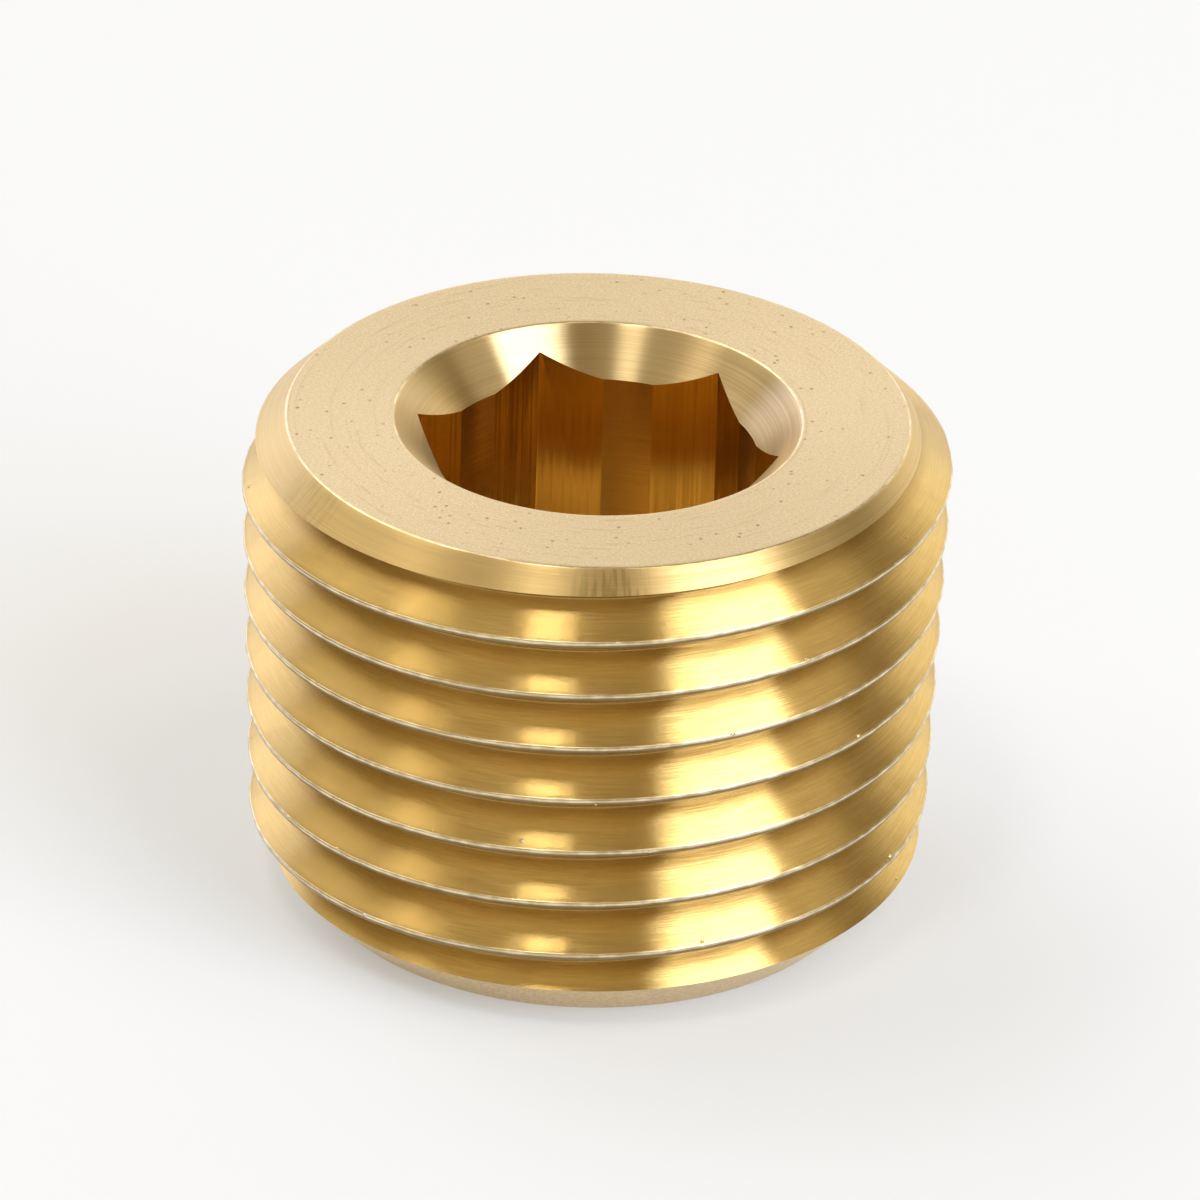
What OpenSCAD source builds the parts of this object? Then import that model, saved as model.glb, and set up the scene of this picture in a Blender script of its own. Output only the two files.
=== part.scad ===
// Countersunk hexagon-socket pipe plug, turned and threaded from one bar of brass.
// Millimetres, +Z up along the axis. The origin is the middle of the small end face, on which the plug
// stands, and the socket opens upwards. The thread is right-handed and tapers towards the small end.

/* [Body] */
// Length from the small end face to the large end face
plug_length = 15.7; // [14:0.05:24]
// Diameter over the thread crests in the plane of the large end face
large_end_d = 21.6; // [20:0.02:26]
// Length of taper over which the diameter grows by 1: pipe threads taper 1 in 16
taper_length = 16; // [10:1:60]

/* [End chamfers] */
// Chamfer round the large end, measured along the radius from the crests
large_chamfer = 1.38; // [0.4:0.02:2]
// Chamfer round the small end, measured along the radius from the crests
small_chamfer = 1.82; // [0.4:0.02:2.4]
// Slope of both chamfers, measured from the end face
chamfer_angle = 45; // [30:1:60]

/* [Thread] */
// Distance between neighbouring crests along the axis: 14 turns to the inch
thread_pitch = 1.814; // [1.2:0.002:2.4]
// Angle between the two flanks of a groove
thread_angle = 60; // [50:1:75]
// Width of the flat along each crest
crest_flat = 0.2; // [0.1:0.01:0.4]
// Width of the flat along the bottom of the groove
root_flat = 0.07; // [0.03:0.01:0.3]
// Direction in which the middle of the groove leaves the small end face, from +X towards +Y
thread_start = 249; // [0:0.5:360]

/* [Socket] */
// Width of the hexagon across its flats
hex_across_flats = 9.65; // [7:0.05:10.6]
// Depth of the hexagon below the large end face
hex_depth = 8; // [4:0.1:9.5]
// Width by which the mouth of the countersink stands outside the hexagon's corners
countersink_land = 0.62; // [0.2:0.02:1.5]
// Angle of the countersink across its whole cone
countersink_angle = 90; // [60:1:120]
// Amount by which the drilled hole is wider than the hexagon's flats
pilot_allowance = 0.12; // [0.02:0.02:0.4]
// Depth to which the drilled hole runs on below the hexagon, as room for chips
pilot_run = 1.4; // [0.4:0.1:1.6]
// Angle across the drilled hole's pointed bottom
drill_point_angle = 118; // [110:1:140]

/* [Hidden] */
// Facets round every turned surface
$fn = 144;
// Straight steps in each turn of the thread
steps_per_turn = 60;
// Length by which a cutter runs on into open air
clear_run = 1;

brass = [0.80, 0.66, 0.37];

// Radius over the crests at a height above the small end face
function crest_radius(height) = large_end_d / 2 - (plug_length - height) / (2 * taper_length);

// Thread form
flank_slope = tan(thread_angle / 2);
thread_depth = (thread_pitch - crest_flat - root_flat) / (2 * flank_slope);
// The groove's cutter stands outside the crests by half of what would make its turns meet
cutter_overlap = crest_flat / (4 * flank_slope);
cutter_mouth = root_flat + 2 * flank_slope * (thread_depth + cutter_overlap);
turns = (plug_length + 2 * thread_pitch) / thread_pitch;
steps = ceil(turns * steps_per_turn);

// Socket
hex_corner_d = hex_across_flats / cos(30);
mouth_d = hex_corner_d + 2 * countersink_land;
pilot_d = hex_across_flats + pilot_allowance;
pilot_depth = hex_depth + pilot_run;
point_depth = pilot_d / 2 / tan(drill_point_angle / 2);

// The bar turned to its taper, with a chamfer round each end
module turned_blank() {
    chamfer_run = 1 / tan(chamfer_angle);
    taper_run = 1 / (2 * taper_length);
    small_rise = small_chamfer / (chamfer_run - taper_run);
    large_drop = large_chamfer / (chamfer_run + taper_run);
    rotate_extrude()
        polygon([
            [0, 0],
            [crest_radius(0) - small_chamfer, 0],
            [crest_radius(small_rise), small_rise],
            [crest_radius(plug_length - large_drop), plug_length - large_drop],
            [crest_radius(plug_length) - large_chamfer, plug_length],
            [0, plug_length]
        ]);
}

// Corners of the groove's cutter where the groove's middle is at one height, as radius and height
function groove_section(height) = [
    [crest_radius(height) - thread_depth, height - root_flat / 2],
    [crest_radius(height) + cutter_overlap, height - cutter_mouth / 2],
    [crest_radius(height) + cutter_overlap, height + cutter_mouth / 2],
    [crest_radius(height) - thread_depth, height + root_flat / 2]
];

// The V-shaped groove as one coil, which climbs to the right and runs past both end faces
module thread_groove() {
    corners = len(groove_section(0));
    points = [
        for (step = [0 : steps])
            let (
                turned = 360 * step / steps_per_turn,
                height = thread_pitch * turned / 360 - thread_pitch,
                direction = thread_start + turned
            )
            for (corner = groove_section(height))
                [corner[0] * cos(direction), corner[0] * sin(direction), corner[1]]
    ];
    walls = [
        for (step = [0 : steps - 1], corner = [0 : corners - 1])
            let (
                here = step * corners + corner,
                beside = step * corners + (corner + 1) % corners
            )
            each [[here, beside, here + corners], [beside, beside + corners, here + corners]]
    ];
    last = steps * corners;
    ends = [[0, 2, 1], [0, 3, 2], [last, last + 1, last + 2], [last, last + 2, last + 3]];
    polyhedron(points, concat(walls, ends));
}

// The drilled hole with its pointed bottom, the hexagon broached down it, and the countersunk mouth
module socket() {
    translate([0, 0, plug_length - pilot_depth])
        cylinder(d = pilot_d, h = pilot_depth + clear_run);
    translate([0, 0, plug_length - pilot_depth - point_depth])
        cylinder(d1 = 0, d2 = pilot_d, h = point_depth);
    translate([0, 0, plug_length - hex_depth])
        cylinder(d = hex_corner_d, h = hex_depth + clear_run, $fn = 6);
    mouth_slope = tan(countersink_angle / 2);
    mouth_depth = mouth_d / 2 / mouth_slope;
    translate([0, 0, plug_length - mouth_depth])
        cylinder(d1 = 0, d2 = mouth_d + 2 * clear_run * mouth_slope, h = mouth_depth + clear_run);
}

module plug() {
    color(brass)
        difference() {
            turned_blank();
            thread_groove();
            socket();
        }
}

plug();
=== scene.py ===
# %% [markdown]
# # A countersunk pipe plug in brass
#
# The plug is one bar of brass, turned to a taper, cut with a right-hand pipe thread, drilled, broached with
# a hexagon and countersunk. The CAD model gives its size and place, and could be given a material as it is.
# But bare metal is judged by its edges, so this script makes the same plug again with the fine forms that
# machining leaves, such as worn crests and broken edges, and gives each machined surface its own finish.

# %% Open the CAD frame
import math

import bmesh
import bpy
from mathutils import Matrix, Vector, noise


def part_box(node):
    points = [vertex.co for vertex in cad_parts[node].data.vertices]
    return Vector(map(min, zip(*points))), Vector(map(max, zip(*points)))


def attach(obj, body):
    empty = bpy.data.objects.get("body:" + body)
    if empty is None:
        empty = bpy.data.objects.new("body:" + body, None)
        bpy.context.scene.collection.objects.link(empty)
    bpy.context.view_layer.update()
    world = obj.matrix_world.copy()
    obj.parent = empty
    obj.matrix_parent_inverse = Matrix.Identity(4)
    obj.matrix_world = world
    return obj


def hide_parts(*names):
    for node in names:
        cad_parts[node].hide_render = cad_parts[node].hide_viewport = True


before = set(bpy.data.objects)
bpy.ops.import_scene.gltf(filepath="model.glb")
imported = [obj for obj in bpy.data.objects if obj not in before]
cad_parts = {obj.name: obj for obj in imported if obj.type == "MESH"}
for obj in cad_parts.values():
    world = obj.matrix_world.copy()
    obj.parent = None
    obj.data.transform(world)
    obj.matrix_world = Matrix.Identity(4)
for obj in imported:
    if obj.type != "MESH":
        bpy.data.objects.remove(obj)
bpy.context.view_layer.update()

MM = 0.001

# %% [markdown]
# ## The camera
#
# The photograph was taken with a long lens, from about a third of a right angle above the table. A camera
# could be dragged into place by eye. Here it is worked out from an aiming point on the plug, a distance and
# three angles, because each of those can be measured and changed on its own. Later cells place lights by
# what the camera calls right, away and up, so the helper for that comes first.

# %% Camera
CAMERA_AZIMUTH = math.radians(10.63)
CAMERA_ELEVATION = math.radians(29.02)
CAMERA_ROLL = math.radians(1.636)
AIM_HEIGHT = 9.38 * MM
AIM_RIGHT = 0.214 * MM
CAMERA_DISTANCE = 365.2 * MM
LENS = 360
SENSOR = 36
NEAREST = 0.01


def seen_from_camera(right, away, up):
    """A direction along the camera's own right and away, both level, and up, as one in the plug's frame."""
    return Matrix.Rotation(CAMERA_AZIMUTH, 3, "Z") @ Vector((right, away, up))


level_right = seen_from_camera(1, 0, 0)
back = seen_from_camera(0, -math.cos(CAMERA_ELEVATION), math.sin(CAMERA_ELEVATION))
level_up = back.cross(level_right)
rolled_right = level_right * math.cos(CAMERA_ROLL) + level_up * math.sin(CAMERA_ROLL)
aim = Vector((0, 0, AIM_HEIGHT)) + level_right * AIM_RIGHT
eye = aim + back * CAMERA_DISTANCE
camera_data = bpy.data.cameras.new("camera")
camera_data.lens = LENS
camera_data.sensor_width = SENSOR
camera_data.sensor_fit = "HORIZONTAL"
camera_data.clip_start = NEAREST
camera = bpy.data.objects.new("camera", camera_data)
bpy.context.scene.collection.objects.link(camera)
camera_turn = Matrix((rolled_right, back.cross(rolled_right), back)).transposed().to_4x4()
camera.matrix_world = Matrix.Translation(eye) @ camera_turn
bpy.context.scene.camera = camera
bpy.context.scene.view_settings.view_transform = "Standard"
print("camera at", [round(value, 4) for value in eye])

# %% [markdown]
# ## Nodes as arithmetic
#
# Finishes are sums of patterns, and long chains of nodes are hard to read. The nodes could be linked one by
# one, but then the sum is lost among sockets. A small class wraps the output of a node, so that a Python
# expression such as `1 - mask` adds the Math nodes itself, and one method adds every other kind of node.

# %% A socket that can be reckoned with
class Signal:
    """One output of a node, on which arithmetic adds Math nodes to the same tree."""

    def __init__(self, tree, socket):
        self.tree = tree
        self.socket = socket

    def calculate(self, operation, *values):
        """A Math node of that operation on these values."""
        return self.tree.node("ShaderNodeMath", {"operation": operation}, dict(enumerate(values)))

    def __add__(self, other):
        return self.calculate("ADD", self, other)

    def __radd__(self, other):
        return self.calculate("ADD", other, self)

    def __sub__(self, other):
        return self.calculate("SUBTRACT", self, other)

    def __rsub__(self, other):
        return self.calculate("SUBTRACT", other, self)

    def __mul__(self, other):
        return self.calculate("MULTIPLY", self, other)

    def __rmul__(self, other):
        return self.calculate("MULTIPLY", other, self)

    def __truediv__(self, other):
        return self.calculate("DIVIDE", self, other)

    def __rtruediv__(self, other):
        return self.calculate("DIVIDE", other, self)

    def __pow__(self, other):
        return self.calculate("POWER", self, other)

    def above(self, limit):
        """1 where the value is above a limit, and 0 elsewhere."""
        return self.calculate("GREATER_THAN", self, limit)

    def ramp(self, low, high):
        """0 below low and 1 above high, smooth between; falling where low is the greater."""
        return self.tree.node(
            "ShaderNodeMapRange",
            {"interpolation_type": "SMOOTHSTEP"},
            {"Value": self, "From Min": low, "From Max": high},
        )

    def also(self, name):
        """Another output of the same node."""
        return Signal(self.tree, self.socket.node.outputs[name])


print("signals may stand behind a number in", [name for name in vars(Signal) if name.startswith("__r")])

# %% A tree that is filled in with expressions
class Tree:
    """The node tree of a material or world, emptied and ready for new nodes."""

    def __init__(self, owner):
        owner.use_nodes = True
        self.name = owner.name
        self.nodes = owner.node_tree.nodes
        self.links = owner.node_tree.links
        self.nodes.clear()

    def node(self, kind, settings=None, inputs=None, output=0):
        """Adds a node, first its settings, then the values or links of its sockets; gives an output."""
        made = self.nodes.new(kind)
        for name, value in (settings or {}).items():
            setattr(made, name, value)
        for name, value in (inputs or {}).items():
            if isinstance(value, Signal):
                self.links.new(value.socket, made.inputs[name])
            else:
                made.inputs[name].default_value = value
        return Signal(self, made.outputs[output]) if len(made.outputs) else made

    def report(self):
        """Prints how many nodes the tree has."""
        print(self.name, "has", len(self.nodes), "nodes")


print("trees can", [name for name in vars(Tree) if not name.startswith("__")])

# %% [markdown]
# ## The floor
#
# The plug stands on a white sheet. The sheet could be lit until it is white, but then the brass would be
# over-lit as well. So the floor is part matte, which takes the plug's shadow, and part white of its own
# wherever the camera or the metal looks at it. Its matte colour leans to blue by the little that the warm
# room adds in red.

# %% Floor
FLOOR_REACH = 2.0
FLOOR_SHADE = (0.81, 0.875, 0.97, 1)
FLOOR_WHITE = 0.3
WHITE = (1, 1, 1, 1)
floor_shape = bmesh.new()
bmesh.ops.create_grid(floor_shape, x_segments=1, y_segments=1, size=FLOOR_REACH)
floor_mesh = bpy.data.meshes.new("floor")
floor_shape.to_mesh(floor_mesh)
floor_shape.free()
floor = bpy.data.objects.new("floor", floor_mesh)
bpy.context.scene.collection.objects.link(floor)
floor_paint = bpy.data.materials.new("white_sheet")
sheet = Tree(floor_paint)
camera_ray = sheet.node("ShaderNodeLightPath", output="Is Camera Ray")
looked_at = camera_ray + camera_ray.also("Is Glossy Ray") + camera_ray.also("Is Transmission Ray")
matte = sheet.node("ShaderNodeBsdfDiffuse", inputs={"Color": FLOOR_SHADE})
white = sheet.node("ShaderNodeEmission", inputs={"Color": WHITE, "Strength": 1.0})
mixed = sheet.node("ShaderNodeMixShader", inputs={0: looked_at * FLOOR_WHITE, 1: matte, 2: white})
sheet.node("ShaderNodeOutputMaterial", inputs={"Surface": mixed})
floor_mesh.materials.append(floor_paint)
sheet.report()

# %% [markdown]
# ## The room
#
# Polished metal shows the room it stands in, so the room matters as much as the lamps. Here it is warm and
# dim, with a white backdrop behind the plug, daylight from a door behind it on the left, a window high on
# the left, paler walls in front and on the right, and a bright patch of ceiling. A picture of a room could
# be wrapped round the scene, but a few soft patches are enough. Each is a direction and two cosines of the
# angle from it: the patch begins at the edge's and is full from the middle's.

# %% Room
ROOM_GREY = 0.25
CEILING_GREY = 0.11
CEILING_PATCH = 2.6
BACKDROP_WHITE = 1.1
WINDOW_WHITE = 1.8
WALL_WHITE = 0.5
FRONT_WHITE = 0.28
DOOR_BLUE = 0.8
ROOM_TINT = (1.0, 0.80, 0.52, 1)
BACKDROP_TINT = (1.0, 0.97, 0.92, 1)
WINDOW_TINT = (1.0, 0.95, 0.86, 1)
DOOR_TINT = (0.45, 0.52, 1.0, 1)
world = bpy.data.worlds.new("studio")
bpy.context.scene.world = world
room = Tree(world)
look = room.node("ShaderNodeTexCoord", output="Generated")


def soft_patch(direction, edge, middle):
    """1 where a line of sight points along a direction, 0 away from it, by the cosine of the angle."""
    settings = {"operation": "DOT_PRODUCT"}
    return room.node("ShaderNodeVectorMath", settings, {0: look, 1: direction}, "Value").ramp(edge, middle)


UPWARD = (0, 0, 1)
ceiling = soft_patch(UPWARD, edge=0.3, middle=0.8)
below_ceiling = soft_patch(UPWARD, edge=0.72, middle=0.42)
patch = soft_patch(seen_from_camera(0.415, -0.156, 0.896), edge=0.955, middle=0.985)
backdrop = soft_patch(seen_from_camera(0.05, 1.0, 0), edge=0.3, middle=0.85) * below_ceiling
window = soft_patch(seen_from_camera(-0.515, 0.36, 0.778), edge=0.88, middle=0.97)
wall = soft_patch(seen_from_camera(0.80, -0.10, 0.59), edge=0.94, middle=0.99)
front = soft_patch(seen_from_camera(-0.52, -0.85, 0.10), edge=0.6, middle=0.92)
door = soft_patch(seen_from_camera(-0.65, 0.74, 0.18), edge=0.87, middle=0.98)
glows = [
    room.node("ShaderNodeBackground", inputs={"Color": tint, "Strength": strength})
    for tint, strength in (
        (ROOM_TINT, ROOM_GREY + CEILING_GREY * ceiling + CEILING_PATCH * patch),
        (BACKDROP_TINT, BACKDROP_WHITE * backdrop),
        (WINDOW_TINT, WINDOW_WHITE * window + WALL_WHITE * wall + FRONT_WHITE * front),
        (DOOR_TINT, DOOR_BLUE * door),
    )
]
sky = glows[0]
for glow in glows[1:]:
    sky = room.node("ShaderNodeAddShader", inputs={0: sky, 1: glow})
room.node("ShaderNodeOutputWorld", inputs={"Surface": sky})
room.report()

# %% [markdown]
# ## The lamps
#
# Three soft lamps make the bright bars on the thread. A large cool one stands low at the front right, a
# small one hangs nearly overhead, and a faint one hangs on the left. Lamps could stand close to the plug,
# but then they would light the near floor more than the far floor. So all three are a metre away, and their
# sizes are chosen for the angle that they fill. Their strength is given as the brightness of the lamp's
# face, which doesn't change when its size does.

# %% Lamps
LAMP_DISTANCE = 1.0
PLUG_MIDDLE = Vector((0, 0, 8 * MM))
UPRIGHT = (0, 0, 1)
OVERHEAD = (0, 1, 0)


def soft_lamp(name, direction, lie, width, depth, radiance, colour):
    """A rectangular lamp that faces the plug from a direction seen from the camera, its depth along lie."""
    outward = seen_from_camera(*direction).normalized()
    across = seen_from_camera(*lie).cross(outward).normalized()
    data = bpy.data.lights.new(name, "AREA")
    data.shape = "RECTANGLE"
    data.size = width
    data.size_y = depth
    data.energy = radiance * math.pi * width * depth
    data.color = colour
    lamp = bpy.data.objects.new(name, data)
    facing = Matrix((across, outward.cross(across), outward)).transposed().to_4x4()
    lamp.matrix_world = Matrix.Translation(PLUG_MIDDLE + outward * LAMP_DISTANCE) @ facing
    lamp.visible_camera = False
    bpy.context.scene.collection.objects.link(lamp)
    print(name, "at", [round(value, 3) for value in lamp.matrix_world.translation])


soft_lamp(
    "right_lamp", direction=(0.617, -0.569, 0.545), lie=UPRIGHT,
    width=0.61, depth=0.74, radiance=4.4, colour=(0.80, 0.86, 1.0),
)
soft_lamp(
    "top_lamp", direction=(-0.198, -0.325, 0.925), lie=OVERHEAD,
    width=0.16, depth=0.20, radiance=11.0, colour=(1.0, 0.96, 0.90),
)
soft_lamp(
    "left_lamp", direction=(-0.630, -0.120, 0.767), lie=OVERHEAD,
    width=0.28, depth=0.22, radiance=2.1, colour=(1.0, 0.90, 0.76),
)

# %% [markdown]
# ## One turn of the thread
#
# A pipe thread is a groove with sloping sides that winds round a cone, and it seals by being forced into a
# tapered hole. It could be a stack of rings, but a real thread climbs, and at the ends its groove runs out
# through the chamfers. So one pitch of the outline is drawn as a line and spun with a rise, which gives one
# turn. The crest's upper edge is just broken and catches the light, while its lower edge is worn round and
# lies in shade, so a white line with a dark one under it runs along every crest. Extra corners close to the
# edges keep the shading there tight. The shape is made in millimetres and brought to metres at the end.

# %% Sizes in millimetres
LENGTH = 15.7
CREST_RADIUS = 10.8
TAPER = 1 / 32
PITCH = 1.814
CREST_FLAT = 0.2
ROOT_FLAT = 0.07
FLANK_ANGLE = math.radians(30)
FLANK_RISE = (PITCH - CREST_FLAT - ROOT_FLAT) / 2
THREAD_DEPTH = FLANK_RISE / math.tan(FLANK_ANGLE)
# Degrees from +X at which the groove leaves the small end
THREAD_START = 249
# Straight steps in a full circle
STEPS = 360
lowest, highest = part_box("plug")
print("CAD length", round((highest[2] - lowest[2]) / MM, 3), "thread depth", round(THREAD_DEPTH, 3))

# %% Lines with rounded corners
def open_line(corners):
    """A bmesh with one line of edges through corners given as radius and height, and its vertices."""
    line = bmesh.new()
    stops = [line.verts.new((radius, 0, height)) for radius, height in corners]
    for one, following in zip(stops, stops[1:]):
        line.edges.new((one, following))
    return line, stops


def round_off(line, stop, reach, segments=3):
    """Rounds one corner of a line, starting at a distance of reach from it."""
    bmesh.ops.bevel(
        line, geom=[stop], offset=reach, offset_type="OFFSET", affect="VERTICES",
        segments=segments, profile=0.5, material=-1,
    )


sample, stops = open_line([(0, 0), (1, 0), (1, 1)])
round_off(sample, stops[1], reach=0.2)
print("a line of three corners has", len(sample.verts), "once its middle one is rounded")
sample.free()

# %% One turn of the thread
CREST_UPPER_EDGE = 0.045
CREST_LOWER_EDGE = 0.16
ROOT_EDGE = 0.03
SUPPORT = 0.12
root_radius = CREST_RADIUS - THREAD_DEPTH
crest_low = ROOT_FLAT / 2 + FLANK_RISE
crest_high = crest_low + CREST_FLAT
support_in = THREAD_DEPTH * SUPPORT
support_up = FLANK_RISE * SUPPORT
thread, stops = open_line([
    (root_radius, 0),
    (root_radius, ROOT_FLAT / 2),
    (root_radius + support_in, ROOT_FLAT / 2 + support_up),
    (CREST_RADIUS - support_in, crest_low - support_up),
    (CREST_RADIUS, crest_low),
    (CREST_RADIUS, crest_high),
    (CREST_RADIUS - support_in, crest_high + support_up),
    (root_radius + support_in, PITCH - ROOT_FLAT / 2 - support_up),
    (root_radius, PITCH - ROOT_FLAT / 2),
    (root_radius, PITCH),
])
root_below, crest_lower, crest_upper, root_above = (stops[place] for place in (1, 4, 5, 8))
round_off(thread, crest_lower, CREST_LOWER_EDGE, segments=6)
round_off(thread, crest_upper, CREST_UPPER_EDGE)
round_off(thread, root_below, ROOT_EDGE)
round_off(thread, root_above, ROOT_EDGE)
first_height = -PITCH * THREAD_START / 360 - PITCH
bmesh.ops.translate(thread, verts=thread.verts[:], vec=(0, 0, first_height))
bmesh.ops.spin(
    thread, geom=thread.verts[:] + thread.edges[:], cent=(0, 0, 0), axis=(0, 0, 1),
    dvec=(0, 0, PITCH / STEPS), angle=2 * math.pi, steps=STEPS, use_merge=False,
)
print("one turn has", len(thread.faces), "faces")

# %% [markdown]
# ## The whole thread, with its taper
#
# Copies of the turn are stacked and joined where they meet. The taper could be part of the spin, but a spin
# keeps its radius, so every point is moved in afterwards by how far it lies below the large end. The same
# loop gives the crests up to two hundredths of a millimetre of wear, because a cut crest is never quite
# even. At last both open ends are drawn together to a point, which closes the shape, so that it can be cut
# as a solid.

# %% All turns, leaned in and closed
# Points closer together than this become one
JOIN = 0.002
CREST_WEAR = 0.020
WEAR_FINENESS = 2.6


def points_of(geometry):
    """The vertices among what a bmesh operator returns."""
    return [piece for piece in geometry if isinstance(piece, bmesh.types.BMVert)]


turns = math.ceil((LENGTH + PITCH / 2 - first_height) / PITCH)
one_turn = thread.verts[:] + thread.edges[:] + thread.faces[:]
for turn_number in range(1, turns):
    copied = bmesh.ops.duplicate(thread, geom=one_turn)["geom"]
    bmesh.ops.translate(thread, verts=points_of(copied), vec=(0, 0, PITCH * turn_number))
bmesh.ops.remove_doubles(thread, verts=thread.verts[:], dist=JOIN)
for vertex in thread.verts:
    radius = math.hypot(vertex.co.x, vertex.co.y)
    near_crest = max(0.0, 1 - (CREST_RADIUS - radius) / CREST_LOWER_EDGE)
    wear = CREST_WEAR * near_crest * noise.noise(vertex.co * WEAR_FINENESS)
    wanted = radius - (LENGTH - vertex.co.z) * TAPER + wear
    vertex.co.x *= wanted / radius
    vertex.co.y *= wanted / radius
for end in (-1, 1):
    rim = [
        edge for edge in thread.edges
        if edge.is_boundary and (edge.verts[0].co.z - LENGTH / 2) * end > 0
    ]
    tips = points_of(bmesh.ops.extrude_edge_only(thread, edges=rim)["geom"])
    level = sum(vertex.co.z for vertex in tips) / len(tips)
    bmesh.ops.pointmerge(thread, verts=tips, merge_co=(0, 0, level))
bmesh.ops.recalc_face_normals(thread, faces=thread.faces[:])
print("thread of", turns, "turns has", len(thread.faces), "faces")

# %% [markdown]
# ## Which tool made which face
#
# Every face remembers the tool that cut it, because each tool leaves another finish. The faces could be
# picked by hand, but the choice would be lost with each new size. Instead a short rule looks at where a
# face lies and where it points, and sets its material number. Booleans carry the numbers along.

# %% Finishes by number
FINISHES = [
    "faced_end", "large_chamfer", "countersink", "thread_flank", "worn_edge",
    "broached_hexagon", "drilled_hole", "small_end",
]
FACED, CHAMFERED, COUNTERSUNK, FLANK, WORN_EDGE, BROACHED, DRILLED, SMALL_END = range(len(FINISHES))
# A crest's faces point up or down by less than this
STEEPEST_EDGE = 0.8


def name_faces(shape, zone_of):
    """Gives every face the number of its finish, from its middle and its normal."""
    for face in shape.faces:
        middle = face.calc_center_median()
        radius = math.hypot(middle.x, middle.y)
        outward = (face.normal.x * middle.x + face.normal.y * middle.y) / max(radius, JOIN)
        face.material_index = zone_of(radius, middle.z, outward, face.normal.z)
        face.smooth = True


def thread_zone(radius, height, outward, upward):
    """The flat and the rounded edges of a crest are worn; the rest is flank."""
    crest = CREST_RADIUS - (LENGTH - height) * TAPER
    near_crest = radius > crest - CREST_LOWER_EDGE
    return WORN_EDGE if near_crest and abs(upward) < STEEPEST_EDGE else FLANK


name_faces(thread, thread_zone)
print("worn faces", sum(face.material_index == WORN_EDGE for face in thread.faces))

# %% [markdown]
# ## The turned ends, the countersink and the drilled hole
#
# The end faces, the chamfers, the countersink and the drilled hole are all round. Each could be a cutter of
# its own, but one line through all their corners, spun full circle, gives them at once and keeps their
# edges in line. The edges that a hand would feel are broken by a few hundredths of a millimetre, and so
# they catch the light as thin bright lines. The plug is what this shape and the thread have in common.

# %% Sizes of the ends and the socket
HEX_FLATS = 9.65
HEX_DEPTH = 8.0
HEX_CORNER = HEX_FLATS / math.sqrt(3)
MOUTH_LAND = 0.62
MOUTH_RADIUS = HEX_CORNER + MOUTH_LAND
PILOT_ALLOWANCE = 0.12
PILOT_RADIUS = (HEX_FLATS + PILOT_ALLOWANCE) / 2
PILOT_RUN = 1.4
PILOT_BOTTOM = LENGTH - HEX_DEPTH - PILOT_RUN
HALF_DRILL_POINT = math.radians(59)
POINT_BOTTOM = PILOT_BOTTOM - PILOT_RADIUS / math.tan(HALF_DRILL_POINT)
MOUTH_BOTTOM = LENGTH - MOUTH_RADIUS + PILOT_RADIUS
LARGE_CHAMFER = 1.38
SMALL_CHAMFER = 1.82
FACE_RADIUS = CREST_RADIUS - LARGE_CHAMFER
FOOT_RADIUS = CREST_RADIUS - LENGTH * TAPER - SMALL_CHAMFER
print("mouth", round(2 * MOUTH_RADIUS, 2), "large end", round(2 * FACE_RADIUS, 2), "across")

# %% Turned shape
CLEAR_OUTSIDE = 1.5
OUTSIDE = CREST_RADIUS + CLEAR_OUTSIDE
EDGE_SUPPORT = 0.15
MOUTH_EDGE = 0.05
FACE_EDGE = 0.05
FOOT_EDGE = 0.06
turned, stops = open_line([
    (0, POINT_BOTTOM),
    (PILOT_RADIUS, PILOT_BOTTOM),
    (PILOT_RADIUS, MOUTH_BOTTOM),
    (MOUTH_RADIUS - EDGE_SUPPORT, LENGTH - EDGE_SUPPORT),
    (MOUTH_RADIUS, LENGTH),
    (MOUTH_RADIUS + EDGE_SUPPORT, LENGTH),
    (FACE_RADIUS - EDGE_SUPPORT, LENGTH),
    (FACE_RADIUS, LENGTH),
    (FACE_RADIUS + EDGE_SUPPORT, LENGTH - EDGE_SUPPORT),
    (OUTSIDE, LENGTH - OUTSIDE + FACE_RADIUS),
    (OUTSIDE, OUTSIDE - FOOT_RADIUS),
    (FOOT_RADIUS + EDGE_SUPPORT, EDGE_SUPPORT),
    (FOOT_RADIUS, 0),
    (FOOT_RADIUS - EDGE_SUPPORT, 0),
    (0, 0),
])
mouth, large_end, foot = (stops[place] for place in (4, 7, 12))
round_off(turned, mouth, MOUTH_EDGE)
round_off(turned, large_end, FACE_EDGE)
round_off(turned, foot, FOOT_EDGE)
bmesh.ops.spin(
    turned, geom=turned.verts[:] + turned.edges[:], cent=(0, 0, 0), axis=(0, 0, 1),
    angle=2 * math.pi, steps=STEPS, use_merge=True,
)
bmesh.ops.remove_doubles(turned, verts=turned.verts[:], dist=JOIN)
bmesh.ops.recalc_face_normals(turned, faces=turned.faces[:])
print("turned shape has", len(turned.faces), "faces")

# %% Finishes of the turned shape
# A level face points up by more than the first, a broken edge by more than the second
LEVEL = 0.98
BROKEN_EDGE = 0.73


def turned_zone(radius, height, outward, upward):
    """The finish of a turned face."""
    if radius < PILOT_RADIUS + JOIN and POINT_BOTTOM < height < MOUTH_BOTTOM:
        return DRILLED
    if height < LENGTH / 2:
        return SMALL_END
    if upward > LEVEL:
        return FACED
    if upward > BROKEN_EDGE:
        return WORN_EDGE
    return COUNTERSUNK if outward < 0 else CHAMFERED


name_faces(turned, turned_zone)
print("drilled faces", sum(face.material_index == DRILLED for face in turned.faces))

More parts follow.
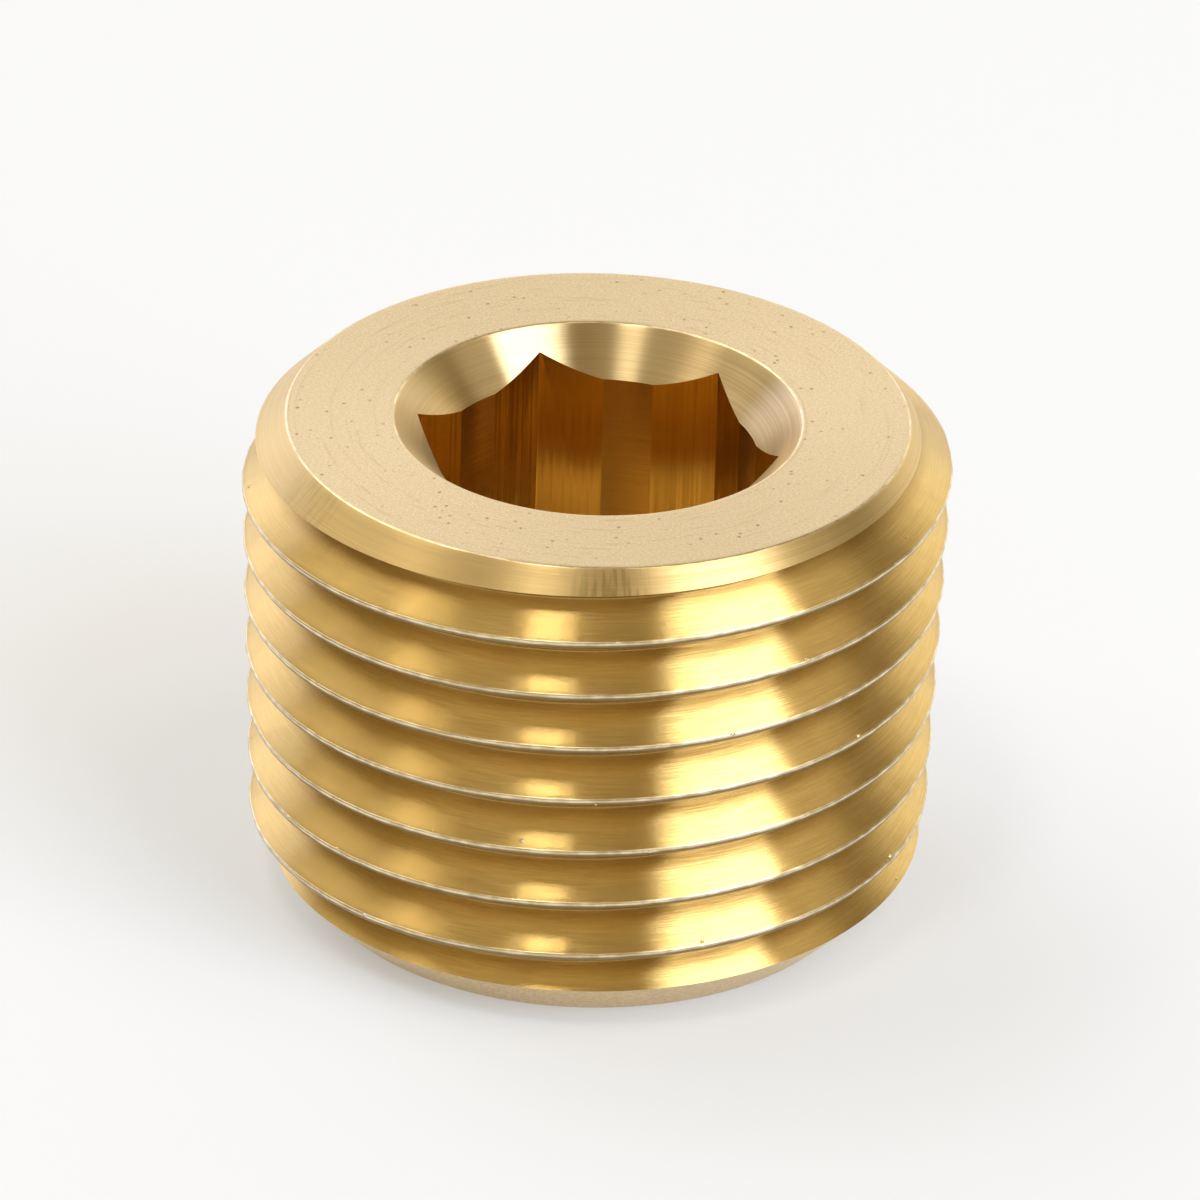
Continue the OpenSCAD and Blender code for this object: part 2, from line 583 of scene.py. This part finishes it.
# %% [markdown]
# ## The hexagon
#
# The key's hexagon is pushed into the drilled hole with a broach. The hole is a little wider than the
# hexagon's flats, so a strip of it stays in the middle of each flat. The strips could be drawn one by one,
# but a six-sided prism, taken out of the drilled plug, leaves them by itself, as the broach does. Its
# upright edges are rounded a little, as a broach's corners wear.

# %% Hexagon
CLEAR = 1.0
CORNER_WEAR = 0.03
hexagon = bmesh.new()
bmesh.ops.create_circle(hexagon, cap_ends=True, segments=6, radius=HEX_CORNER)
half_side = Matrix.Rotation(math.radians(30), 3, "Z")
bmesh.ops.rotate(hexagon, verts=hexagon.verts[:], cent=(0, 0, 0), matrix=half_side)
bmesh.ops.translate(hexagon, verts=hexagon.verts[:], vec=(0, 0, LENGTH - HEX_DEPTH))
drawn = bmesh.ops.extrude_face_region(hexagon, geom=hexagon.faces[:])["geom"]
bmesh.ops.translate(hexagon, verts=points_of(drawn), vec=(0, 0, HEX_DEPTH + CLEAR))
upright = [edge for edge in hexagon.edges if abs(edge.verts[0].co.z - edge.verts[1].co.z) > CLEAR]
bmesh.ops.bevel(
    hexagon, geom=upright, offset=CORNER_WEAR, offset_type="OFFSET", affect="EDGES",
    segments=3, profile=0.5, material=-1,
)
bmesh.ops.recalc_face_normals(hexagon, faces=hexagon.faces[:])
name_faces(hexagon, lambda radius, height, outward, upward: BROACHED)
print("hexagon has", len(hexagon.faces), "faces")

# %% [markdown]
# ## One solid
#
# The three shapes become one with two Boolean modifiers: the thread keeps what lies inside the turned
# shape, and loses what lies inside the hexagon. The faces could be joined by hand where they cross, but the
# groove runs out through both chamfers in long curves, which is just what a Boolean is good at. The result
# is then brought from millimetres to metres, and edges that are keen on the real plug are marked sharp.

# %% Cut and clean
brass_finishes = [bpy.data.materials.new(name) for name in FINISHES]


def as_object(shape, name):
    """A bmesh as an object in the scene with every finish in its slots."""
    mesh = bpy.data.meshes.new(name)
    shape.to_mesh(mesh)
    shape.free()
    for material in brass_finishes:
        mesh.materials.append(material)
    made = bpy.data.objects.new(name, mesh)
    bpy.context.scene.collection.objects.link(made)
    return made


plug = as_object(thread, "brass_plug")
cutters = [
    (as_object(turned, "turned_shape"), "INTERSECT"),
    (as_object(hexagon, "broach"), "DIFFERENCE"),
]
for cutter, operation in cutters:
    cut = plug.modifiers.new(cutter.name, "BOOLEAN")
    cut.object = cutter
    cut.operation = operation
    cut.solver = "MANIFOLD"
    cut.material_mode = "INDEX"
bpy.context.view_layer.update()
finished = bpy.data.meshes.new_from_object(plug.evaluated_get(bpy.context.evaluated_depsgraph_get()))
plug.modifiers.clear()
plug.data = finished
for cutter, operation in cutters:
    bpy.data.objects.remove(cutter)
print("plug has", len(finished.polygons), "faces and", len(finished.materials), "finishes")

# %% Size and shading
# Faces that meet at more than this angle keep a sharp edge
KEEN = math.radians(28)
body = bmesh.new()
body.from_mesh(finished)
bmesh.ops.scale(body, verts=body.verts[:], vec=(MM, MM, MM))
for edge in body.edges:
    edge.smooth = edge.calc_face_angle(0.0) < KEEN
for face in body.faces:
    face.smooth = True
for number, name in enumerate(FINISHES):
    print(name, sum(face.material_index == number for face in body.faces), "faces")
open_edges = sum(not edge.is_manifold for edge in body.edges)
print("open edges", open_edges, "volume in mm3", round(body.calc_volume() / MM ** 3, 1))
body.to_mesh(finished)
body.free()

# %% [markdown]
# ## Patterns in millimetres
#
# All of it is the same brass, but every tool leaves another surface. Patterns could be drawn on an
# unwrapped map, but tool marks follow the axis, so it is simpler to work them out from the place on the
# plug: its distance from the axis and its height make rings, its direction round the axis makes streaks.

# %% Patterns
# Share of the specks that are at full strength; the others are fainter
FULL_SPECKS = 0.8


class Patterns(Tree):
    """The tree of one finish, with the place on the plug in millimetres to make patterns from."""

    def __init__(self, number):
        super().__init__(brass_finishes[number])
        metres = self.node("ShaderNodeTexCoord", output="Object")
        self.place = self.scaled(metres, 1 / MM)
        self.x = self.node("ShaderNodeSeparateXYZ", inputs={0: self.place}, output="X")
        self.y = self.x.also("Y")
        self.z = self.x.also("Z")
        self.radius = (self.x * self.x + self.y * self.y) ** 0.5

    def scaled(self, vector, length):
        """A vector made longer or shorter."""
        settings = {"operation": "SCALE"}
        return self.node("ShaderNodeVectorMath", settings, {0: vector, "Scale": length}, "Vector")

    def vectors(self, operation, *values):
        """A Vector Math node of that operation."""
        settings = {"operation": operation}
        return self.node("ShaderNodeVectorMath", settings, dict(enumerate(values)), "Vector")

    def vector(self, first, second, third):
        """Three values as one vector."""
        return self.node("ShaderNodeCombineXYZ", inputs={0: first, 1: second, 2: third})

    def cloud(self, where, scale=1.0, detail=2.0):
        """Soft noise from 0 to 1."""
        inputs = {"Vector": where, "Scale": scale, "Detail": detail}
        return self.node("ShaderNodeTexNoise", inputs=inputs)

    def rings(self, fineness, drift=0.15):
        """Noise that runs round the axis as tool marks do, fineness marks to the millimetre."""
        return self.cloud(self.vector(self.radius * fineness, self.z * fineness, self.x * drift))

    def streaks(self, fineness, length):
        """Noise that runs along the axis, as a broach leaves."""
        return self.cloud(self.vector(self.x * fineness, self.y * fineness, self.z * length))

    def slope_streaks(self, fineness, length):
        """Noise that runs down a turned slope, as chatter leaves, fineness streaks to the millimetre."""
        reach = fineness * CREST_RADIUS / self.radius
        return self.cloud(self.vector(self.x * reach, self.y * reach, self.z * length))

    def toward(self, direction, far, near):
        """1 in a level direction from the axis, 0 away from it, by the cosine of the angle between."""
        heading = direction.normalized()
        return ((self.x * heading.x + self.y * heading.y) / self.radius).ramp(far, near)

    def specks(self, fineness, size, share, plateau):
        """1 inside small dots, in a share of a grid's cells, level out to a plateau of their size."""
        inputs = {"Vector": self.place, "Scale": fineness}
        dots = self.node("ShaderNodeTexVoronoi", inputs=inputs, output="Distance")
        chance = self.node("ShaderNodeSeparateColor", inputs={0: dots.also("Color")}, output=0)
        return dots.ramp(size, size * plateau) * chance.ramp(1 - share, 1 - share * FULL_SPECKS)


print("patterns", [name for name in vars(Patterns) if not name.startswith("__")])

# %% [markdown]
# ## Brass and its tool marks
#
# The lathe leaves fine rings, which spread a reflection across them and keep it narrow along them, so a
# lamp shows as an upright bar. Such bars could be painted on, but they would not move with the eye. So each
# finish is a metal with strong anisotropy, whose direction is that of the tool. A cut surface is also not
# quite straight between its marks: its normal may lean a little across them, which moves the bars. Faces
# that point down are seen almost edge-on, and a lean would turn them away from the eye, so they get none.

# %% Brass
# Turns of the anisotropy that spread light along the axis or round it
ALONG_AXIS = 0.25
ROUND_AXIS = 0.0
# Faces that point up by less than this point down
DOWNWARD = -0.1
# Values of noise that stand for no mark, a dark one and a pale one
MIDDLE = 0.5
DARK_MARK = 0.3
PALE_MARK = 0.7


class Finish(Patterns):
    """One finish of the brass: a colour, a normal and the shader."""

    def blend(self, share, one, other):
        """A colour between two, by share."""
        settings = {"data_type": "RGBA"}
        return self.node("ShaderNodeMix", settings, {"Factor": share, 6: one, 7: other}, output=2)

    def shades(self, pattern, dark, pale):
        """Two shades of the metal, by a pattern's low and high places."""
        return self.blend(pattern.ramp(DARK_MARK, PALE_MARK), dark, pale)

    def waver(self, marks, slope):
        """Marks as slopes to both sides of none."""
        return (marks - MIDDLE) * slope

    def straight(self):
        """The surface's own normal."""
        return self.node("ShaderNodeNewGeometry", output="Normal")

    def upward(self):
        """How far the surface points up, from -1 to 1."""
        return self.node("ShaderNodeSeparateXYZ", inputs={0: self.straight()}, output="Z")

    def around(self):
        """The direction round the axis."""
        return self.vectors("NORMALIZE", self.vector(self.y * -1.0, self.x, 0.0))

    def leaned(self, lean):
        """The surface's normal with a small vector added."""
        return self.vectors("NORMALIZE", self.vectors("ADD", self.straight(), lean))

    def lean_down(self, slope):
        """The normal leaned by slope across a lathe's marks, on all faces but those that point down."""
        across = self.vectors("CROSS_PRODUCT", self.around(), self.straight())
        return self.leaned(self.scaled(across, slope * self.upward().above(DOWNWARD)))

    def lean_sideways(self, slope):
        """The normal leaned by slope across a broach's marks."""
        return self.leaned(self.scaled(self.around(), slope))

    def bump(self, height, distance, under=None):
        """A normal from a height between 0 and 1 that stands for distance millimetres."""
        inputs = {"Height": height, "Distance": distance * MM, "Strength": 1.0}
        if under:
            inputs["Normal"] = under
        return self.node("ShaderNodeBump", inputs=inputs)

    def brass(self, colour, roughness, normal, anisotropy, spread=ALONG_AXIS, metal=1.0):
        """The shader. Marks of a lathe spread light along the axis, those of a broach round it."""
        inputs = {"Base Color": colour, "Metallic": metal, "Roughness": roughness, "Normal": normal}
        inputs["Anisotropic"] = anisotropy
        inputs["Anisotropic Rotation"] = spread
        shader = self.node("ShaderNodeBsdfPrincipled", inputs=inputs)
        self.node("ShaderNodeOutputMaterial", inputs={"Surface": shader})
        self.report()


print("finishes can", [name for name in vars(Finish) if not name.startswith("__")])

# %% [markdown]
# ## The faced end
#
# The large end was faced with a broad tool and then lay loose among other plugs, so it is pale and dull,
# with a fine grain, faint arcs of the tool and a few dark pits. One noise could colour it, but grain, arcs
# and pits have sizes of their own, so each is a pattern, and the first two also stand in relief.

# %% Faced end
FACE_DULL = (0.74, 0.61, 0.39, 1)
FACE_PALE = (0.86, 0.74, 0.52, 1)
FACE_ARC = (0.62, 0.48, 0.27, 1)
FACE_PIT = (0.30, 0.22, 0.11, 1)
ARC_STRENGTH = 0.45
PIT_STRENGTH = 0.8
finish = Finish(FACED)
grain = finish.cloud(finish.place, scale=13.0, detail=4.0)
facing = finish.rings(fineness=8.0, drift=0.9)
patches = finish.cloud(finish.place, scale=0.8, detail=3.0)
pits = finish.specks(fineness=2.8, size=0.24, share=0.6, plateau=0.2) * patches.ramp(0.38, 0.55)
colour = finish.shades(grain, FACE_DULL, FACE_PALE)
colour = finish.blend(facing.ramp(0.58, 0.75) * ARC_STRENGTH, colour, FACE_ARC)
colour = finish.blend(pits * PIT_STRENGTH, colour, FACE_PIT)
normal = finish.bump(facing, distance=0.006)
normal = finish.bump(grain, distance=0.006, under=normal)
finish.brass(colour, roughness=0.40 + 0.10 * grain, normal=normal, anisotropy=0.3)

# %% [markdown]
# ## The large chamfer
#
# The chamfer is bright, but the tool shook as it cut, so short dark streaks run down the slope, in front
# and on the left. A random cloud could scatter them, but the photograph shows where they are. So each group
# is a direction from the axis: the nearer a point lies to it, the more of the streaks is let through.

# %% Large chamfer
CHAMFER_DARK = (0.66, 0.48, 0.20, 1)
CHAMFER_PALE = (0.75, 0.56, 0.26, 1)
CHATTER_BROWN = (0.36, 0.25, 0.09, 1)
CHATTER_STRENGTH = 0.5
LEFT_SHARE = 0.5
CHAMFER_LEAN = 0.07
finish = Finish(CHAMFERED)
marks = finish.rings(fineness=30.0)
chatter = finish.slope_streaks(fineness=6.0, length=1.1)
in_front = finish.toward(seen_from_camera(0.05, -1.0, 0), far=0.99, near=0.9995)
on_left = finish.toward(seen_from_camera(-0.86, -0.51, 0), far=0.985, near=0.9995)
torn = chatter.ramp(0.45, 0.62) * (in_front + LEFT_SHARE * on_left)
colour = finish.shades(marks, CHAMFER_DARK, CHAMFER_PALE)
colour = finish.blend(torn * CHATTER_STRENGTH, colour, CHATTER_BROWN)
normal = finish.lean_down(finish.waver(marks, slope=0.4) + CHAMFER_LEAN)
finish.brass(colour, roughness=0.34 + 0.08 * chatter, normal=normal, anisotropy=0.85)

# %% [markdown]
# ## The countersink
#
# The countersink was cut last and nothing has touched it since, so it is the cleanest surface of all, with
# sharp bars of light. It could share the chamfer's finish, but its cutter ran without shaking, so it has
# only fine rings and a low roughness. Its normal leans inwards, because such a cutter leaves its cone a
# little hollow.

# %% Countersink
CONE_DARK = (0.70, 0.54, 0.27, 1)
CONE_PALE = (0.79, 0.62, 0.34, 1)
CONE_LEAN = -0.16
finish = Finish(COUNTERSUNK)
marks = finish.rings(fineness=30.0)
colour = finish.shades(marks, CONE_DARK, CONE_PALE)
normal = finish.lean_down(finish.waver(marks, slope=0.2) + CONE_LEAN)
finish.brass(colour, roughness=0.28, normal=normal, anisotropy=1.0)

# %% [markdown]
# ## The thread's flanks
#
# A flank is cut in one pass with fine marks along the thread, and it is browner in cloudy stains. Towards
# the root it is painted browner and darker, as painted shade for the depth of the groove. Ambient occlusion
# could give this, but the depth of a point follows from its radius and the taper, so a short formula gives
# it exactly. Close to the crests a few grains of grit and tiny burrs stick out. They are smooth and only
# part metal, so they catch the light, and their pale colour is a painted glint.

# %% Thread flanks
FLANK_DARK = (0.73, 0.51, 0.17, 1)
FLANK_PALE = (0.84, 0.60, 0.215, 1)
FLANK_STAIN = (0.63, 0.42, 0.14, 1)
# Painted shade: the dark brown that the groove takes on towards its root
ROOT_PAINTED_SHADE = (0.32, 0.17, 0.03, 1)
# Pale colour of the grit and burrs, which is also a painted glint
GRIT_AND_PAINTED_GLINT = (0.98, 0.94, 0.84, 1)
GRIT_HEIGHT = 0.06
GRIT_DULLING = 0.7
STAIN_STRENGTH = 0.4
ROOT_SHADE_STRENGTH = 0.55
FLANK_LEAN = 0.34
finish = Finish(FLANK)
marks = finish.rings(fineness=30.0)
stain = finish.cloud(finish.place, scale=0.7, detail=3.0)
depth = (CREST_RADIUS - LENGTH * TAPER) + finish.z * TAPER - finish.radius
burrs = finish.specks(fineness=1.5, size=0.14, share=0.25, plateau=0.0) * depth.ramp(0.4, 0.2)
# Where the painted glint lies: the middles of the burrs
painted_glint = burrs.ramp(0.2, 0.6)
colour = finish.shades(marks, FLANK_DARK, FLANK_PALE)
colour = finish.blend(stain.ramp(0.45, 0.75) * STAIN_STRENGTH, colour, FLANK_STAIN)
# Painted shade, deeper towards the root of the groove
colour = finish.blend(depth.ramp(0.65, 1.25) * ROOT_SHADE_STRENGTH, colour, ROOT_PAINTED_SHADE)
# Painted glint: the burrs turn pale
colour = finish.blend(painted_glint, colour, GRIT_AND_PAINTED_GLINT)
normal = finish.lean_down(FLANK_LEAN + finish.waver(marks, slope=0.4))
normal = finish.bump(burrs, GRIT_HEIGHT, under=normal)
metal = 1.0 - GRIT_DULLING * painted_glint
finish.brass(colour, roughness=0.27 - 0.17 * burrs, normal=normal, anisotropy=1.0, metal=metal)

# %% [markdown]
# ## Worn edges
#
# The crests and the two broken edges of the large end are rubbed pale and smooth, with the same grit and
# burrs as the flanks, whose pale colour is again a painted glint. Where the surface turns to point down, as
# under a crest, the colour is painted shade. It could be a finish with faces of its own, but shade has no
# sharp border, so the colour darkens smoothly as the surface turns to point down.

# %% Worn edges
EDGE_DULL = (0.66, 0.53, 0.31, 1)
EDGE_PALE = (0.90, 0.77, 0.52, 1)
# Painted shade for faces that point down, as under the crests
UNDERSIDE_PAINTED_SHADE = (0.20, 0.13, 0.05, 1)
UNDERSIDE_SHADE_STRENGTH = 0.85
finish = Finish(WORN_EDGE)
worn = finish.cloud(finish.place, scale=2.2, detail=4.0)
burrs = finish.specks(fineness=1.8, size=0.17, share=0.25, plateau=0.0)
# Where the painted glint lies: the middles of the burrs
painted_glint = burrs.ramp(0.2, 0.6)
colour = finish.blend(worn.ramp(0.35, 0.65), EDGE_DULL, EDGE_PALE)
# Painted shade, darker the more the surface points down
colour = finish.blend(finish.upward().ramp(-0.10, -0.36) * UNDERSIDE_SHADE_STRENGTH, colour, UNDERSIDE_PAINTED_SHADE)
# Painted glint: the burrs turn pale
colour = finish.blend(painted_glint, colour, GRIT_AND_PAINTED_GLINT)
normal = finish.bump(worn, distance=0.006)
normal = finish.bump(burrs, GRIT_HEIGHT, under=normal)
metal = 1.0 - GRIT_DULLING * painted_glint
finish.brass(colour, roughness=0.28 - 0.16 * burrs, normal=normal, anisotropy=0.4, metal=metal)

# %% [markdown]
# ## The broached hexagon
#
# A broach is drawn straight in, so its marks run along the axis and spread light sideways. The walls look
# deep amber, and that colour could be painted on. But it comes from light that reaches them only after
# several reflections, each of which makes it redder. So the walls get the colour of plain brass, a little
# browner than the flanks, and the reflections do the rest.

# %% Broached hexagon
BROACH_DARK = (0.65, 0.44, 0.13, 1)
BROACH_PALE = (0.74, 0.53, 0.19, 1)
finish = Finish(BROACHED)
marks = finish.streaks(fineness=9.0, length=0.12)
colour = finish.shades(marks, BROACH_DARK, BROACH_PALE)
normal = finish.lean_sideways(finish.waver(marks, slope=0.5))
finish.brass(colour, roughness=0.22, normal=normal, anisotropy=0.9, spread=ROUND_AXIS)

# %% [markdown]
# ## The drilled hole
#
# The strips of the drilled hole between the broach's cuts have rings from the drill. Its pointed bottom is
# rougher, and it is painted much paler as painted light, which stands in for the light that reaches the
# bottom of the socket and shows in the hexagon's walls. The two could be two finishes, but they are one
# drill's work, so one finish changes where the point begins.

# %% Drilled hole
DRILL_DARK = (0.52, 0.34, 0.10, 1)
DRILL_PALE = (0.60, 0.42, 0.14, 1)
# Painted light: the pale colour of the drill's pointed bottom
DRILL_POINT_PAINTED_LIGHT = (0.96, 0.74, 0.36, 1)
POINT_FADE = 0.1
finish = Finish(DRILLED)
marks = finish.rings(fineness=12.0)
point = finish.z.ramp(PILOT_BOTTOM + POINT_FADE, PILOT_BOTTOM - POINT_FADE)
colour = finish.shades(marks, DRILL_DARK, DRILL_PALE)
# Painted light on the pointed bottom
colour = finish.blend(point, colour, DRILL_POINT_PAINTED_LIGHT)
normal = finish.lean_down(finish.waver(marks, slope=0.15))
finish.brass(colour, roughness=0.24 + 0.18 * point, normal=normal, anisotropy=0.5)

# %% [markdown]
# ## The small end
#
# The small end was sawn off and its chamfer was cut quickly, so it is dull and grainy. The photograph shows
# only a sliver of it. Saw marks could be added on the hidden face, but nothing shows that they are there,
# so the grain of the sliver covers all of it.

# %% Small end
END_DULL = (0.66, 0.49, 0.25, 1)
END_PALE = (0.84, 0.65, 0.37, 1)
finish = Finish(SMALL_END)
grain = finish.cloud(finish.place, scale=8.0, detail=4.0)
colour = finish.shades(grain, END_DULL, END_PALE)
normal = finish.bump(grain, distance=0.012)
finish.brass(colour, roughness=0.36, normal=normal, anisotropy=0.3)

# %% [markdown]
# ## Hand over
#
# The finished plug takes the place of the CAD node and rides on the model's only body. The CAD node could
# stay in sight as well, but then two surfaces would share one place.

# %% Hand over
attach(plug, "root")
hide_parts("plug")
